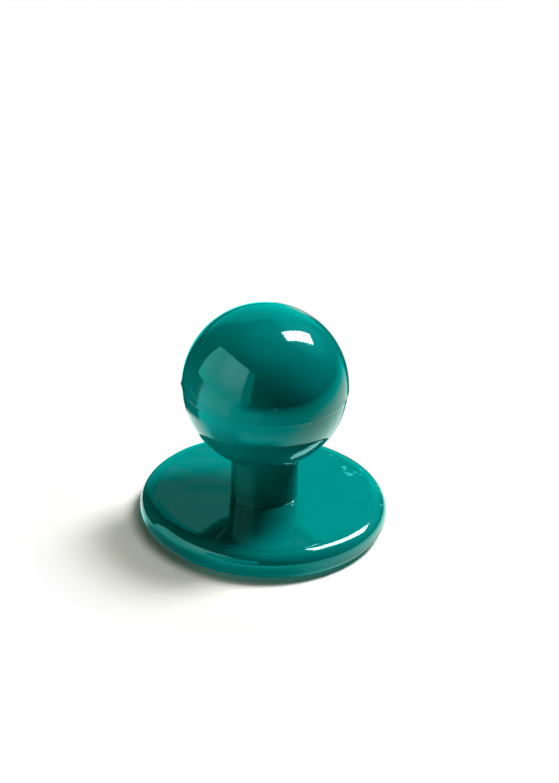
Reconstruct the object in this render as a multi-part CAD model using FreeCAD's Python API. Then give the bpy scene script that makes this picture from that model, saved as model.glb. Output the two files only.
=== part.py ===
import FreeCAD, Part
import math
import os

os.makedirs("parts", exist_ok=True)

# Ball button: one moulded piece, a ball on a short neck that stands on a flat disc
# The origin is the middle of the disc's underside, +Z goes up through the ball
# All sizes are in millimetres

# Ball, with the mould's parting line as a small step round its widest place
ball_diameter = 12.0
parting_step = 0.06

# Neck, whose length is the clear side between the disc and the ball
neck_diameter = 4.9
neck_length = 3.35
neck_foot_fillet = 0.05
neck_head_fillet = 0.05

# Disc, with a soft upper edge and a soft lower edge
disc_diameter = 18.0
disc_thickness = 2.2
disc_upper_edge_radius = 1.1
disc_lower_edge_radius = 1.0

# Sizes that follow from the ones above
ball_radius = ball_diameter / 2
lower_ball_radius = ball_radius - parting_step
neck_radius = neck_diameter / 2
disc_radius = disc_diameter / 2
ball_centre_height = (
    disc_thickness + neck_length + math.sqrt(lower_ball_radius ** 2 - neck_radius ** 2)
)
full_turn = 360

# Where the head fillet's centre sits beside the neck and under the ball
head_fillet_out = neck_radius + neck_head_fillet
head_fillet_drop = math.sqrt((lower_ball_radius + neck_head_fillet) ** 2 - head_fillet_out ** 2)


def point(out, up):
    """A point of the half section, by its distance from the axis and its height."""
    return FreeCAD.Vector(out, 0, up)


def arc_about(centre, start, end):
    """The shorter arc about a centre, from one point to another at the same distance."""
    halfway = (start - centre) + (end - centre)
    halfway.normalize()
    middle = centre + halfway * (start - centre).Length
    return Part.Arc(start, middle, end).toShape()


def disc_edges(neck_foot):
    """Underside, lower edge, side, upper edge and top of the disc, up to the neck's foot."""
    lower_centre = point(disc_radius - disc_lower_edge_radius, disc_lower_edge_radius)
    upper_centre = point(
        disc_radius - disc_upper_edge_radius, disc_thickness - disc_upper_edge_radius
    )
    underside_rim = point(lower_centre.x, 0)
    side_foot = point(disc_radius, lower_centre.z)
    side_head = point(disc_radius, upper_centre.z)
    top_rim = point(upper_centre.x, disc_thickness)
    return [
        Part.makeLine(point(0, 0), underside_rim),
        arc_about(lower_centre, underside_rim, side_foot),
        Part.makeLine(side_foot, side_head),
        arc_about(upper_centre, side_head, top_rim),
        Part.makeLine(top_rim, neck_foot),
    ]


def neck_edges(neck_foot, neck_head):
    """Foot fillet, straight side and head fillet of the neck."""
    foot_centre = point(neck_foot.x, neck_foot.z + neck_foot_fillet)
    head_centre = point(head_fillet_out, ball_centre_height - head_fillet_drop)
    side_foot = point(neck_radius, foot_centre.z)
    side_head = point(neck_radius, head_centre.z)
    return [
        arc_about(foot_centre, neck_foot, side_foot),
        Part.makeLine(side_foot, side_head),
        arc_about(head_centre, side_head, neck_head),
    ]


def ball_edges(neck_head):
    """Lower half of the ball, the step at the parting line and the upper half."""
    centre = point(0, ball_centre_height)
    lower_side = point(lower_ball_radius, ball_centre_height)
    upper_side = point(ball_radius, ball_centre_height)
    crown = point(0, ball_centre_height + ball_radius)
    return [
        arc_about(centre, neck_head, lower_side),
        Part.makeLine(lower_side, upper_side),
        arc_about(centre, upper_side, crown),
        Part.makeLine(crown, point(0, 0)),
    ]


def ball_button():
    """The half section of the disc, neck and ball, turned once round the axis."""
    neck_foot = point(neck_radius + neck_foot_fillet, disc_thickness)
    ball_share = lower_ball_radius / (lower_ball_radius + neck_head_fillet)
    neck_head = point(
        head_fillet_out * ball_share, ball_centre_height - head_fillet_drop * ball_share
    )
    edges = disc_edges(neck_foot)
    edges += neck_edges(neck_foot, neck_head)
    edges += ball_edges(neck_head)
    section = Part.Face(Part.Wire(edges))
    return section.revolve(FreeCAD.Vector(0, 0, 0), FreeCAD.Vector(0, 0, 1), full_turn)


ball_button().exportStep("parts/ball_button.step")
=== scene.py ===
import math

import bpy
from mathutils import Matrix, Vector, noise


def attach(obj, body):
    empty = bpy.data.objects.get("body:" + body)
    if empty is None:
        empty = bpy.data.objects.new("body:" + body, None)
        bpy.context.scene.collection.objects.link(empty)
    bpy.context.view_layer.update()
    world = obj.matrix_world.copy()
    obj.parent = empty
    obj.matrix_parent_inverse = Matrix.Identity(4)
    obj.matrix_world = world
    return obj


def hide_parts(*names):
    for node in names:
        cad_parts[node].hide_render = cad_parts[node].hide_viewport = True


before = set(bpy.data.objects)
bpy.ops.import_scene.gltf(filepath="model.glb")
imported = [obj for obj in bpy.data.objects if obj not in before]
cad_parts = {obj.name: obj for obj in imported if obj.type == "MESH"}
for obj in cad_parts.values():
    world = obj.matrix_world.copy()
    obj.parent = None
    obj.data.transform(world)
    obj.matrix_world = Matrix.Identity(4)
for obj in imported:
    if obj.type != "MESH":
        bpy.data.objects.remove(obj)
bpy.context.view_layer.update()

MM = 0.001
NODE = "ball_button"
UP = Vector((0, 0, 1))

# Sizes in millimetres: the solid's section, with an oval upper edge and a sharper neck foot
BALL_R = 6.0
LOWER_BALL_R = 5.94
NECK_R = 2.45
NECK_LENGTH = 3.35
FOOT_FILLET = 0.02
HEAD_FILLET = 0.05
DISC_R = 9.0
DISC_T = 2.2
UPPER_EDGE_OUT, UPPER_EDGE_DOWN = 1.35, 1.0
LOWER_EDGE_R = 1.0
BALL_Z = DISC_T + NECK_LENGTH + math.sqrt(LOWER_BALL_R ** 2 - NECK_R ** 2)

# The neck came out of the mould leaning to the left; the ball's centre stands this far out
LEAN = 0.301
BALL = Vector((-LEAN, 0, BALL_Z))
LEAN_ANGLE = math.atan2(LEAN, BALL_Z - DISC_T)

# Fineness of the turned mesh, and where its rings lie closer round the seam, in degrees
TURN_STEPS = 320
SEAM_FOOT, SEAM_STEP, SEAM_HEAD, LAST_RING = -1.2, -0.2, 1.0, 89.0

# The uneven rib of flash along the ball's seam, in millimetres
RIB_HEIGHT = 0.024
RIB_HALF_WIDTH = 0.13

# How fine the rib's unevenness is, and the mean share of its full height
RIB_FINENESS = 4.0
RIB_MEAN_SHARE = 0.5

# Small swellings and dents of the moulding: middle, radius and height in millimetres
LUMPS = [
    ((-6.27, -0.35, 10.88), 0.42, 0.06),
    ((-6.12, -0.95, 11.45), 0.5, -0.035),
    ((-5.35, -3.05, 11.8), 0.3, 0.02),
    ((1.95, -1.62, 2.2), 0.25, 0.012),
    ((5.77, 3.97, 2.2), 0.3, 0.02),
    ((6.2, 2.95, 2.2), 0.35, 0.02),
    ((6.45, 3.75, 2.2), 0.35, -0.02),
]

# Pale scuffs and specks on the disc top, and painted glints along the disc's rim and on the ball
# that stand in for highlights and reflections: middle, radius in millimetres and strength
SCUFFS_AND_GLINTS = [
    ((5.8, 3.97, 2.2), 0.25, 1.0),
    ((5.86, 3.6, 2.2), 0.2, 0.6),
    ((5.95, 3.2, 2.2), 0.2, 0.7),
    ((6.22, 2.98, 2.2), 0.34, 0.9),
    ((6.66, 3.33, 2.2), 0.17, 0.85),
    ((7.11, 3.83, 2.19), 0.2, 0.8),
    ((7.03, 3.07, 2.2), 0.15, 0.75),
    ((4.86, 5.65, 2.2), 0.28, 0.25),
    # Painted glints: sparkles of light along the disc's right rim
    ((8.25, 1.92, 2.03), 0.16, 0.7),
    ((8.42, 1.25, 1.96), 0.2, 0.5),
    ((8.55, -0.66, 1.9), 0.15, 0.7),
    ((7.18, 1.06, 2.2), 0.08, 0.5),
    ((5.42, 1.46, 2.2), 0.08, 0.4),
    # Painted glints on the ball: bright specks that stand in for reflections
    ((0.52, -5.79, 12.29), 0.13, 0.7),
    ((-5.8, -1.37, 12.93), 0.09, 0.6),
    ((-5.12, -1.53, 14.19), 0.09, 0.5),
]

# Painted glints on the ball, light lines that stand in for reflections, each a row of dots: start,
# end, radius and strength
GLINT_LINES = [
    ((-5.56, -2.73, 11.92), (-4.84, -3.91, 11.24), 0.11, 0.4),
    ((0.86, -5.16, 13.79), (0.88, -5.35, 13.42), 0.07, 0.15),
]
GLINT_LINE_DOTS = 9

# Dark nicks: middle and radius
NICKS = [
    ((6.25, 3.9, 2.2), 0.2),
    ((6.7, 3.75, 2.2), 0.2),
    ((6.95, 3.45, 2.2), 0.13),
    ((4.6, 3.9, 2.2), 0.15),
]

# Strength of nicks and specks, and the share of a mark's radius that has its full strength
NICK_STRENGTH = 0.7
SPECK_STRENGTH = 0.22
MARK_CORE = 0.3

# Colours of the plastic, its marks, its painted glints and its gloss
TEAL_DEEP = (0.0, 0.14, 0.13, 1.0)
TEAL_PALE = (0.0, 0.158, 0.146, 1.0)
# Pale scuff colour, which on the rim and the ball is a painted glint
SCUFF_AND_GLINT_COLOUR = (0.02, 0.38, 0.36, 1.0)
NICK_COLOUR = (0.0, 0.08, 0.07, 1.0)
GLOSS_TINT = (0.4, 1.0, 0.95, 1.0)

# Roughness of the clean plastic from least to most, and of a mark
POLISH = (0.05, 0.1)
MARK_ROUGHNESS = 0.35

# How strongly the plastic bends light
REFRACTION = 1.58

# Fine patterns in the plastic: scale, detail and roughness
FLOW = (260.0, 3.0, 0.5)
HAZE = (900.0, 4.0, 0.6)
WAVE = (420.0, 2.0, 0.4)
RAGGED = (7000.0, 2.0, 0.5)

# Cells in a metre, a few of which hold a speck
SPECK_CELLS = 1100.0

# Relief of the waves and the marks: strength and depth in metres
WAVE_RELIEF = (0.03, 0.0006)
MARK_RELIEF = (0.5, 0.00003)

# The whole range over which the marks' ragged outlines stray, in metres
RAGGED_SHIFT = 0.00025

# Azimuths run from -180 to 180, so a stretch up to this one has no soft end
PAST_BACK = 200

# Stretches of floor round the button: first and last azimuth and softness, in degrees
RIGHT_SIDE = (20, 138, 30)
DIM_BACK = (141, PAST_BACK, 14)
FAR_BACK = (168, PAST_BACK, 5)
BACK_LEFT = (-171, -150, 16)
LEFT_SIDE = (-93, -30, 24)
DARK_STRETCH = (-152, -93, 5)
BESIDE_DISC = (-148, -78, 12)
WARM_RIGHT = (-30, 138, 10)
WARM_LEFT = (-93, -42, 14)
WARM_BACK = (168, 174, 5)
SUNNY_LEFT = (-106, -30, 30)

# The floor's half size, and how far it lies under the button, in metres
FLOOR_HALF = 0.8
FLOOR_DROP = 0.00002

# Distances on the floor from the button's middle, in metres
UNDER_EDGE = 0.0088
FAR_FLOOR = (0.045, 0.075)
PAST_DISC = (0.013, 0.017)

# How bright the floor looks in the gloss, and how it fades with the distance
FLOOR_PEAK = 2.45
FADE_START, FADE_LENGTH = 0.015, 0.1
BACK_LEFT_PEAK, BACK_LEFT_FADE = 1.8, 0.06
DIM_GLOW, FAR_BACK_GLOW, DARK_STRETCH_GLOW, BESIDE_GLOW = 0.1, 0.95, 0.05, 1.8

# What the camera sees round the button: the floor's own colour, a warm glow close by that is a
# painted fill lightening and warming the shadow, and white further out
FLOOR_COLOUR = (0.8, 0.8, 0.77, 1.0)
NEAR_WHITE = (1.0, 1.0, 0.9, 1.0)
WHITE = (1.0, 1.0, 1.0, 1.0)

# Light of the surroundings in the gloss
BLACK = (0.0, 0.0, 0.0, 1.0)
CEILING = (0.02, 1.0, 0.95, 1.0)
HALO = (0.03, 0.9, 0.88, 1.0)
BACKDROP = (0.0, 0.84, 0.77, 1.0)
BACKDROP_GREY = (0.17, 0.84, 0.77, 1.0)
BACKDROP_LOW = (0.0, 1.15, 0.93, 1.0)
STRIP = (0.02, 1.25, 1.15, 1.0)
PANEL_LOW = (0.3, 2.45, 2.28, 1.0)
PANEL = (0.85, 2.52, 2.35, 1.0)
PANEL_BRIGHT = (1.7, 3.2, 3.1, 1.0)
LOW_CARD = (0.05, 2.2, 2.05, 1.0)

# Light that the surroundings throw on the plastic and the floor
PANEL_SOFT = (0.41, 0.41, 0.24, 1.0)
BOUNCE_COLOUR = (1.0, 1.0, 0.97, 1.0)
BOUNCE_LEFT, BOUNCE_NEAR = 3.0, 1.3

# The panel and the dimmer strip that shows beside it have these in common
PANEL_AZIMUTH, PANEL_TOP, PANEL_EDGE = -57, 1.09, 0.02

# Upright screens: azimuth, then start, end, top and softness as shares of their distance
BACKDROP_SCREEN = (180, -0.45, 0.6, 1.1, 0.15)
STRIP_SCREEN = (PANEL_AZIMUTH, 0.3, 0.81, PANEL_TOP, PANEL_EDGE)
PANEL_SCREEN = (PANEL_AZIMUTH, -1.3, 0.47, PANEL_TOP, PANEL_EDGE)


# Half section of the button

def arc(centre, radius, start_deg, end_deg, steps, rise=None):
    """Points of an arc, its start left out, as (out, up); rise is the upward radius of an oval."""
    points = []
    for i in range(1, steps + 1):
        a = math.radians(start_deg + (end_deg - start_deg) * i / steps)
        up = (rise or radius) * math.sin(a)
        points.append((centre[0] + radius * math.cos(a), centre[1] + up))
    return points


def straight(start, end, steps):
    """Points of a straight run, its start left out."""
    return [
        (start[0] + (end[0] - start[0]) * i / steps, start[1] + (end[1] - start[1]) * i / steps)
        for i in range(1, steps + 1)
    ]


def half_section():
    """The outline from the middle of the underside round to the ball's crown."""
    drop = math.sqrt((LOWER_BALL_R + HEAD_FILLET) ** 2 - (NECK_R + HEAD_FILLET) ** 2)
    head_centre = (NECK_R + HEAD_FILLET, BALL_Z - drop)
    ball_start = math.degrees(math.atan2(-drop, NECK_R + HEAD_FILLET))
    ball_centre = (0, BALL_Z)
    lower_centre = (DISC_R - LOWER_EDGE_R, LOWER_EDGE_R)
    upper_centre = (DISC_R - UPPER_EDGE_OUT, DISC_T - UPPER_EDGE_DOWN)
    foot_centre = (NECK_R + FOOT_FILLET, DISC_T + FOOT_FILLET)
    outline = [(0.0, 0.0)]
    outline += straight((0, 0), (lower_centre[0], 0), steps=6)
    outline += arc(lower_centre, LOWER_EDGE_R, -90, 0, steps=14)
    outline += straight((DISC_R, LOWER_EDGE_R), (DISC_R, upper_centre[1]), steps=3)
    outline += arc(upper_centre, UPPER_EDGE_OUT, 0, 90, steps=24, rise=UPPER_EDGE_DOWN)
    outline += straight((upper_centre[0], DISC_T), (foot_centre[0], DISC_T), steps=48)
    outline += arc(foot_centre, FOOT_FILLET, 270, 180, steps=8)
    outline += straight((NECK_R, foot_centre[1]), (NECK_R, head_centre[1]), steps=12)
    outline += arc(head_centre, HEAD_FILLET, 180, ball_start + 180, steps=6)
    outline += arc(ball_centre, LOWER_BALL_R, ball_start, SEAM_FOOT, steps=44)
    outline += arc(ball_centre, LOWER_BALL_R, SEAM_FOOT, SEAM_STEP, steps=5)
    outline += arc(ball_centre, BALL_R, SEAM_STEP, SEAM_HEAD, steps=6)
    outline += arc(ball_centre, BALL_R, SEAM_HEAD, LAST_RING, steps=66)
    return outline


def leaned(place):
    """Where a point of the straight button goes: the disc and the ball's seam stay level."""
    if place.z <= DISC_T:
        return place
    head = DISC_T + NECK_LENGTH
    if place.z < head:
        share = (place.z - DISC_T) / NECK_LENGTH
        along = (place.z - DISC_T) / (BALL_Z - DISC_T)
        middle = Vector((-LEAN * along, 0, place.z))
        offset = Vector((place.x, place.y, 0))
    else:
        share = max(0.0, (BALL_Z - place.z) / (BALL_Z - head))
        middle = BALL
        offset = place - Vector((0, 0, BALL_Z))
    return middle + Matrix.Rotation(-LEAN_ANGLE * share, 3, "Y") @ offset


def marked(place, around):
    """Adds the seam's rib and the small lumps, outward on the ball and upward on the disc."""
    on_ball = place.z > DISC_T + NECK_LENGTH / 2
    outward = (place - BALL).normalized() if on_ball else UP
    height = 0.0
    off_seam = abs(place.z - BALL_Z) / RIB_HALF_WIDTH
    if off_seam < 1:
        uneven = noise.noise(Vector((math.cos(around), math.sin(around), 0)) * RIB_FINENESS)
        height += RIB_HEIGHT * max(0.0, RIB_MEAN_SHARE + uneven) * (1 - off_seam ** 2)
    for middle, radius, lift in LUMPS:
        share = (place - Vector(middle)).length / radius
        if share < 1:
            height += lift * (1 - share ** 2) ** 2
    return place + outward * height


def build_button():
    """Turns the half section into one closed mesh."""
    outline = half_section()
    verts = [Vector((0, 0, 0))]
    for out, up in outline[1:]:
        for k in range(TURN_STEPS):
            a = 2 * math.pi * k / TURN_STEPS
            place = leaned(Vector((out * math.cos(a), out * math.sin(a), up)))
            verts.append(marked(place, a) * MM)
    verts.append((BALL + Vector((0, 0, BALL_R))) * MM)
    crown = len(verts) - 1
    rings = len(outline) - 1
    last = 1 + (rings - 1) * TURN_STEPS
    faces = []
    for k in range(TURN_STEPS):
        n = (k + 1) % TURN_STEPS
        faces.append((0, 1 + n, 1 + k))
        faces.append((last + k, last + n, crown))
    for r in range(rings - 1):
        low = 1 + r * TURN_STEPS
        high = low + TURN_STEPS
        for k in range(TURN_STEPS):
            n = (k + 1) % TURN_STEPS
            faces.append((low + k, low + n, high + n, high + k))
    mesh = bpy.data.meshes.new("moulded_button")
    mesh.from_pydata(verts, [], faces)
    mesh.validate()
    for polygon in mesh.polygons:
        polygon.use_smooth = True
    button = bpy.data.objects.new("moulded_button", mesh)
    bpy.context.scene.collection.objects.link(button)
    return button


# Materials

class Nodes:
    """Short ways to add and join shader nodes."""

    def __init__(self, owner):
        owner.use_nodes = True
        self.tree = owner.node_tree
        self.tree.nodes.clear()

    def add(self, kind, inputs=None, **settings):
        node = self.tree.nodes.new(kind)
        for key, value in settings.items():
            setattr(node, key, value)
        for key, value in (inputs or {}).items():
            self.put(node.inputs[key], value)
        return node

    def put(self, socket, value):
        if isinstance(value, bpy.types.NodeSocket):
            self.tree.links.new(value, socket)
        else:
            socket.default_value = value

    def calc(self, operation, a, b=0.0):
        return self.add("ShaderNodeMath", {0: a, 1: b}, operation=operation).outputs[0]

    def times(self, a, b):
        return self.calc("MULTIPLY", a, b)

    def plus(self, a, b):
        return self.calc("ADD", a, b)

    def ramp(self, value, low, high, out_low=0.0, out_high=1.0):
        limits = {"From Min": low, "From Max": high, "To Min": out_low, "To Max": out_high}
        node = self.add(
            "ShaderNodeMapRange", {"Value": value, **limits}, interpolation_type="SMOOTHSTEP"
        )
        return node.outputs[0]

    def turn(self, around, start_deg, end_deg, out_start=0.0, out_end=1.0):
        """A ramp from one azimuth to another."""
        start, end = math.radians(start_deg), math.radians(end_deg)
        return self.ramp(around, start, end, out_start, out_end)

    def sector(self, around, first, last, soft):
        """1 between two azimuths in degrees, with soft edges, and 0 elsewhere."""
        enter = self.turn(around, first - soft / 2, first + soft / 2)
        leave = self.turn(around, last + soft / 2, last - soft / 2)
        return self.times(enter, leave)

    def mix(self, factor, a, b):
        node = self.add("ShaderNodeMix", {0: factor, 6: a, 7: b}, data_type="RGBA")
        return node.outputs[2]

    def blend(self, factor, a, b):
        return self.add("ShaderNodeMix", {0: factor, 2: a, 3: b}, data_type="FLOAT").outputs[0]

    def vector(self, operation, inputs):
        return self.add("ShaderNodeVectorMath", inputs, operation=operation)

    def dot(self, way, other):
        return self.vector("DOT_PRODUCT", {0: way, 1: other}).outputs["Value"]

    def distance(self, place, centre):
        return self.vector("DISTANCE", {0: place, 1: centre}).outputs["Value"]

    def noise(self, place, scale, detail, roughness):
        inputs = {"Vector": place, "Scale": scale, "Detail": detail, "Roughness": roughness}
        return self.add("ShaderNodeTexNoise", inputs).outputs

    def relief(self, height, strength, depth, under=None):
        """The surface's direction after a relief, which can lie on another relief."""
        inputs = {"Height": height, "Strength": strength, "Distance": depth}
        if under:
            inputs["Normal"] = under
        return self.add("ShaderNodeBump", inputs).outputs["Normal"]

    def glow(self, colour, strength=1.0):
        return self.add("ShaderNodeEmission", {"Color": colour, "Strength": strength}).outputs[0]

    def choose(self, factor, a, b):
        return self.add("ShaderNodeMixShader", {0: factor, 1: a, 2: b}).outputs[0]

    def finish(self, surface, kind="ShaderNodeOutputMaterial"):
        self.add(kind, {"Surface": surface})


def spots(n, place, marks):
    """How strongly each point lies in one of the round marks, 0 to 1."""
    mask = 0.0
    for middle, radius, strength in marks:
        away = n.distance(place, Vector(middle) * MM)
        spot = n.ramp(away, radius * MM, radius * MM * MARK_CORE, 0.0, strength)
        mask = n.calc("MAXIMUM", mask, spot)
    return mask


def scuffs_and_glints():
    """The scuffs and painted glints, and the painted glint lines on the ball as rows of dots."""
    marks = list(SCUFFS_AND_GLINTS)
    for start, end, radius, strength in GLINT_LINES:
        for i in range(GLINT_LINE_DOTS):
            middle = Vector(start).lerp(Vector(end), i / (GLINT_LINE_DOTS - 1))
            marks.append((middle, radius, strength))
    return marks


def moulded_plastic():
    """Glossy opaque plastic with faint flow mottling, slight waviness, scuffs, painted glints and
    sparse specks.
    """
    material = bpy.data.materials.new("moulded_teal_plastic")
    n = Nodes(material)
    place = n.add("ShaderNodeTexCoord").outputs["Object"]
    flow = n.noise(place, *FLOW)["Fac"]
    haze = n.noise(place, *HAZE)["Fac"]
    wave = n.noise(place, *WAVE)["Fac"]

    # Ragged outlines for the scuffs, painted glints and nicks
    ragged = n.noise(place, *RAGGED)["Color"]
    shift = n.vector("SUBTRACT", {0: ragged, 1: (0.5, 0.5, 0.5)}).outputs[0]
    shift = n.vector("SCALE", {0: shift, "Scale": RAGGED_SHIFT}).outputs[0]
    torn = n.vector("ADD", {0: place, 1: shift}).outputs[0]
    # Pale scuffs on the disc top, and painted glints on the rim and on the ball
    scuffed_and_glinting = spots(n, torn, scuffs_and_glints())
    nicked = spots(n, torn, [(middle, radius, NICK_STRENGTH) for middle, radius in NICKS])

    # Sparse specks, one in a few cells
    cells = n.add("ShaderNodeTexVoronoi", {"Vector": place, "Scale": SPECK_CELLS}).outputs
    chosen = n.add("ShaderNodeSeparateColor", {0: cells["Color"]}).outputs[0]
    speck = n.times(n.ramp(cells["Distance"], 0.07, 0.03), n.ramp(chosen, 0.8, 0.82))
    marks = n.calc("MAXIMUM", scuffed_and_glinting, n.times(speck, SPECK_STRENGTH))

    colour = n.mix(n.ramp(flow, 0.3, 0.7), TEAL_DEEP, TEAL_PALE)
    # The pale colour is a scuff on the disc top and a painted glint on the rim and the ball
    colour = n.mix(marks, colour, SCUFF_AND_GLINT_COLOUR)
    colour = n.mix(nicked, colour, NICK_COLOUR)
    roughness = n.ramp(haze, 0.35, 0.8, *POLISH)
    roughness = n.blend(n.calc("MAXIMUM", marks, nicked), roughness, MARK_ROUGHNESS)
    waved = n.relief(wave, *WAVE_RELIEF)
    relief = n.relief(n.calc("SUBTRACT", marks, nicked), *MARK_RELIEF, waved)
    surface = {"Base Color": colour, "Roughness": roughness, "IOR": REFRACTION}
    surface.update({"Normal": relief, "Specular Tint": GLOSS_TINT})
    n.finish(n.add("ShaderNodeBsdfPrincipled", surface).outputs[0])
    return material


# Floor

def beside_disc(n, around, reach):
    """The sunlit patch of floor just left of the disc, next to the dark stretch."""
    return n.times(n.sector(around, *BESIDE_DISC), n.ramp(reach, 0.0172, 0.0148))


def floor_glow(n, around, reach):
    """How bright the floor looks in the gloss: a glow with painted shadow close to the disc and the
    ball, and dark in a stretch behind on the left.
    """
    past = n.calc("MAXIMUM", n.calc("SUBTRACT", reach, FADE_START), 0.0)
    sunlit = n.times(n.calc("EXPONENT", n.calc("DIVIDE", past, -FADE_LENGTH)), FLOOR_PEAK)
    # Painted shadow of the disc: the glow is dim close to the disc's edge
    front = n.times(sunlit, n.ramp(reach, UNDER_EDGE, 0.013))
    right = n.times(sunlit, n.ramp(reach, UNDER_EDGE, 0.0105, 0.3, 1.0))
    right = n.times(right, n.turn(around, 100, 135, 1.0, 0.72))
    # Painted shadow of the ball: on the left the glow is dim close to the disc
    left = n.plus(n.ramp(reach, 0.008, 0.020, 0.3, 2.15), n.ramp(reach, 0.022, 0.045, 0.0, 0.4))
    back_left = n.calc("EXPONENT", n.calc("DIVIDE", reach, -BACK_LEFT_FADE))
    back_left = n.times(back_left, BACK_LEFT_PEAK)
    far_back = n.times(n.sector(around, *FAR_BACK), n.ramp(reach, *FAR_FLOOR))
    glow = n.blend(n.sector(around, *RIGHT_SIDE), front, right)
    glow = n.blend(n.sector(around, *DIM_BACK), glow, DIM_GLOW)
    glow = n.blend(far_back, glow, FAR_BACK_GLOW)
    glow = n.blend(n.sector(around, *BACK_LEFT), glow, back_left)
    glow = n.blend(n.sector(around, *LEFT_SIDE), glow, left)
    # The floor's glow is painted dark in this stretch behind on the left
    glow = n.blend(n.sector(around, *DARK_STRETCH), glow, DARK_STRETCH_GLOW)
    return n.blend(beside_disc(n, around, reach), glow, BESIDE_GLOW)


def floor_red(n, around, reach):
    """The red of what the gloss shows: close by on the right, and further out left and behind."""
    edge = n.turn(around, 20, 130, 0.015, 0.048)
    amount = n.turn(around, 0, 80, 0.45, 1.5)
    fade = n.ramp(n.calc("DIVIDE", reach, edge), 0.6, 1.4, 1.0, 0.0)
    red = n.times(n.times(amount, fade), n.sector(around, *WARM_RIGHT))
    # Painted shadow of the disc: less red close to its edge
    by_disc_front = n.ramp(reach, 0.0115, 0.0145)
    by_disc_right = n.ramp(reach, UNDER_EDGE, 0.0100, 0.4, 1.0)
    red = n.times(red, n.blend(n.turn(around, 10, 45), by_disc_front, by_disc_right))
    far_left = n.ramp(reach, 0.024, 0.040, 0.06, 0.6)
    red = n.plus(red, n.times(n.sector(around, *WARM_LEFT), far_left))
    far_back = n.ramp(reach, *FAR_FLOOR, 0.0, 0.8)
    red = n.plus(red, n.times(n.sector(around, *WARM_BACK), far_back))
    beside = n.turn(around, -105, -80, 1.6, 0.6)
    return n.blend(beside_disc(n, around, reach), red, beside)


def floor_bounce(n, around, reach):
    """How bright the floor is as a light on the plastic: mostly the sunny stretch on the left."""
    # Painted shadow of the ball: no bounce close by on the left
    left = n.ramp(reach, *PAST_DISC, 0.0, BOUNCE_LEFT)
    near = n.ramp(reach, *PAST_DISC, BOUNCE_NEAR, 0.0)
    return n.blend(n.sector(around, *SUNNY_LEFT), near, left)


def floor_material():
    """A white floor: for the camera, lit and shadowed near the button and plain further out."""
    material = bpy.data.materials.new("white_floor")
    n = Nodes(material)
    place = n.add("ShaderNodeNewGeometry").outputs["Position"]
    parts = n.add("ShaderNodeSeparateXYZ", {0: place}).outputs
    reach = n.distance(place, (0.0, 0.0, 0.0))
    around = n.calc("ARCTAN2", parts["X"], n.times(parts["Y"], -1.0))
    path = n.add("ShaderNodeLightPath").outputs

    # What the plastic meets: a pattern in its gloss, and a soft bounce in its diffuse light
    glow = floor_glow(n, around, reach)
    blue = n.times(glow, n.turn(around, 20, 80, 0.96, 0.86))
    channels = {0: floor_red(n, around, reach), 1: glow, 2: blue}
    gloss = n.glow(n.add("ShaderNodeCombineColor", channels).outputs[0])
    soft = n.glow(BOUNCE_COLOUR, floor_bounce(n, around, reach))
    unseen = n.choose(path["Is Diffuse Ray"], gloss, soft)

    # What the camera sees
    lit = n.add("ShaderNodeBsdfDiffuse", {"Color": FLOOR_COLOUR}).outputs[0]
    # Painted warm fill over the floor's shadow close by, plain white further out
    white = n.glow(n.mix(n.ramp(reach, 0.012, 0.018), NEAR_WHITE, WHITE))
    contact = n.ramp(reach, UNDER_EDGE, 0.0102, 0.0, 0.33)
    fade = n.plus(contact, n.ramp(reach, 0.010, 0.020, 0.0, 0.67))
    seen = n.choose(fade, lit, white)
    n.finish(n.choose(path["Is Camera Ray"], unseen, seen))
    # Light samples carry no ray type, so the glow is only met by rays that the plastic sends out
    material.cycles.emission_sampling = "NONE"
    return material


def build_sheet(name, corners, material):
    """A flat piece with four corners."""
    mesh = bpy.data.meshes.new(name)
    mesh.from_pydata(corners, [], [(0, 1, 2, 3)])
    mesh.materials.append(material)
    sheet = bpy.data.objects.new(name, mesh)
    bpy.context.scene.collection.objects.link(sheet)
    return sheet


def build_floor():
    """A level floor that the button stands on."""
    signs = [(-1, -1), (1, -1), (1, 1), (-1, 1)]
    corners = [(x * FLOOR_HALF, y * FLOOR_HALF, 0) for x, y in signs]
    floor = build_sheet("floor", corners, floor_material())
    floor.location.z = -FLOOR_DROP


def build_low_card():
    """A small pale card low in front on the left, seen only in the gloss."""
    # Where its two ends are seen from above, and how high its two edges are, in millimetres
    left, right, low, high = (-13.0, -15.5), (-0.6, -20.0), 3.0, 9.5
    corners = [(*left, low), (*right, low), (*right, high), (*left, high)]
    material = bpy.data.materials.new("low_card")
    n = Nodes(material)
    n.finish(n.glow(LOW_CARD))
    material.cycles.emission_sampling = "NONE"
    card_object = build_sheet("low_card", [Vector(corner) * MM for corner in corners], material)
    card_object.visible_camera = False
    card_object.visible_diffuse = False
    card_object.visible_shadow = False


# Surroundings, lamps and camera

def toward(azimuth, elevation):
    """Unit vector from the button; azimuth 0 is the camera's side and 90 the right."""
    a, e = math.radians(azimuth), math.radians(elevation)
    return Vector((math.sin(a) * math.cos(e), -math.cos(a) * math.cos(e), math.sin(e)))


def screen(n, way, azimuth, start, end, top, soft):
    """1 where a direction meets an upright screen; start to end goes with growing azimuth."""
    ahead = toward(azimuth, 0)
    across = Vector((-ahead.y, ahead.x, 0))
    depth = n.calc("MAXIMUM", n.dot(way, ahead), 0.0001)
    side = n.calc("DIVIDE", n.dot(way, across), depth)
    rise = n.calc("DIVIDE", n.dot(way, UP), depth)
    past_start = n.ramp(side, start - soft, start + soft)
    before_end = n.ramp(side, end + soft, end - soft)
    inside = n.times(past_start, before_end)
    inside = n.times(inside, n.ramp(rise, top + soft, top - soft))
    return n.times(inside, n.ramp(n.dot(way, ahead), 0.0, 0.02))


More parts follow.
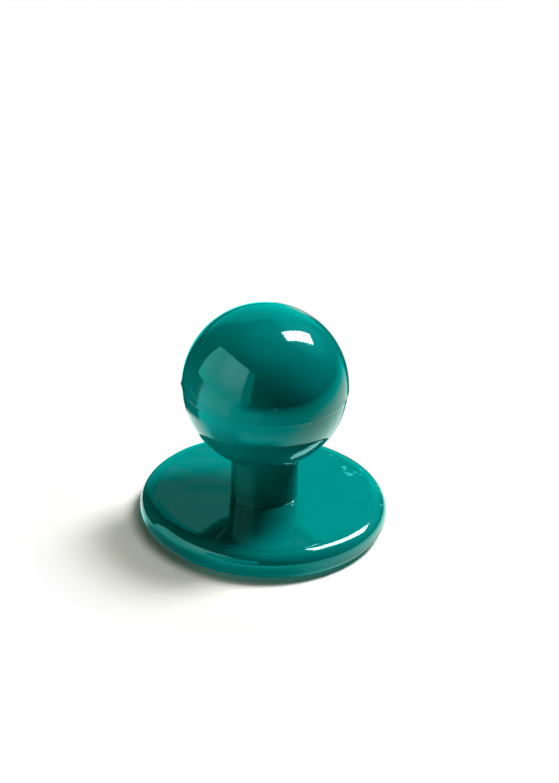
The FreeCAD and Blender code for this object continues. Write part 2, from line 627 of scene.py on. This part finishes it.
def backdrop_light(n, upward, rightward):
    """The backdrop's colour: a greyer band left of the middle, and brighter low down."""
    grey = n.times(n.ramp(upward, 0.505, 0.512), n.ramp(rightward, -0.001, -0.006))
    grey = n.times(grey, n.ramp(upward, 0.55, 0.53))
    colour = n.mix(grey, BACKDROP, BACKDROP_GREY)
    low = n.times(n.ramp(upward, 0.47, 0.38), n.ramp(rightward, -0.35, -0.05))
    return n.mix(low, colour, BACKDROP_LOW)


def build_world():
    """White for the camera; for the plastic, a backdrop, a panel on the left and a dim room."""
    world = bpy.data.worlds.new("studio")
    bpy.context.scene.world = world
    n = Nodes(world)
    path = n.add("ShaderNodeLightPath").outputs
    way = n.add("ShaderNodeTexCoord").outputs["Generated"]
    upward = n.dot(way, UP)
    rightward = n.dot(way, toward(90, 0))
    shiny = n.mix(n.ramp(upward, 0.75, 1.0, 0.1, 0.45), BLACK, CEILING)
    shiny = n.mix(n.ramp(n.dot(way, toward(135, 40)), 0.85, 0.98), shiny, HALO)
    backdrop = screen(n, way, *BACKDROP_SCREEN)
    shiny = n.mix(backdrop, shiny, backdrop_light(n, upward, rightward))
    shiny = n.mix(screen(n, way, *STRIP_SCREEN), shiny, STRIP)
    panel = screen(n, way, *PANEL_SCREEN)
    panel_light = n.mix(n.ramp(upward, 0.0, 0.35), PANEL_LOW, PANEL)
    bright = n.ramp(n.dot(way, toward(-53, 36)), 0.88, 0.99)
    panel_light = n.mix(bright, panel_light, PANEL_BRIGHT)
    shiny = n.mix(panel, shiny, panel_light)
    soft = n.mix(panel, BLACK, PANEL_SOFT)
    room = n.mix(path["Is Diffuse Ray"], shiny, soft)
    colour = n.mix(path["Is Camera Ray"], room, WHITE)
    shader = n.add("ShaderNodeBackground", {"Color": colour, "Strength": 1.0})
    n.finish(shader.outputs[0], "ShaderNodeOutputWorld")
    world.cycles.sampling_method = "NONE"


def lamp(name, elevation, height, power, diffuse=True, glossy=True):
    """An upright rectangular lamp at the right behind that faces the ball."""
    azimuth, distance, width = 128.0, 0.32, 0.078
    light = bpy.data.lights.new(name, "AREA")
    light.shape = "RECTANGLE"
    light.size, light.size_y, light.energy = width, height, power
    obj = bpy.data.objects.new(name, light)
    way = toward(azimuth, elevation)
    obj.location = Vector((0, 0, BALL_Z * MM)) + way * distance
    obj.rotation_euler = (-way).to_track_quat("-Z", "Y").to_euler()
    obj.visible_camera = False
    obj.visible_diffuse = diffuse
    obj.visible_glossy = glossy
    bpy.context.scene.collection.objects.link(obj)


def build_lamps():
    """The window behind: its full shape in the gloss, and its bright upper part as light."""
    lamp("window", elevation=50.1, height=0.19, power=2.07, diffuse=False)
    lamp("key", elevation=52.0, height=0.15, power=2.02, glossy=False)


def build_camera():
    """The photograph's viewpoint, which looks down from in front with a small roll."""
    # The picture's size and the ball's centre in pixels, and the distance in millimetres
    wide, high = 559, 783
    ball_x, ball_y = 265.28, 385.58
    distance, pixels_per_mm = 220.0, 13.9607
    elevation, roll = math.radians(28.895), math.radians(2.961)
    focal = distance * pixels_per_mm
    right = Vector((1, 0, 0))
    down = -Vector((0, math.sin(elevation), math.cos(elevation)))
    forward = Vector((0, math.cos(elevation), -math.sin(elevation)))
    cam_right = right * math.cos(roll) - down * math.sin(roll)
    cam_down = right * math.sin(roll) + down * math.cos(roll)
    off_x = (ball_x - wide / 2) / focal
    off_y = (ball_y - high / 2) / focal
    place = BALL - distance * (cam_right * off_x + cam_down * off_y + forward)
    data = bpy.data.cameras.new("camera")
    data.sensor_width = 36.0
    data.lens = focal / high * data.sensor_width
    data.clip_start, data.clip_end = 0.01, 5.0
    camera = bpy.data.objects.new("camera", data)
    turn = Matrix((cam_right, -cam_down, -forward)).transposed().to_4x4()
    camera.matrix_world = Matrix.Translation(place * MM) @ turn
    bpy.context.scene.collection.objects.link(camera)
    bpy.context.scene.camera = camera


button = build_button()
button.data.materials.append(moulded_plastic())
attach(button, "root")
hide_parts(NODE)

build_floor()
build_low_card()
build_world()
build_lamps()
build_camera()
bpy.context.scene.view_settings.view_transform = "Standard"
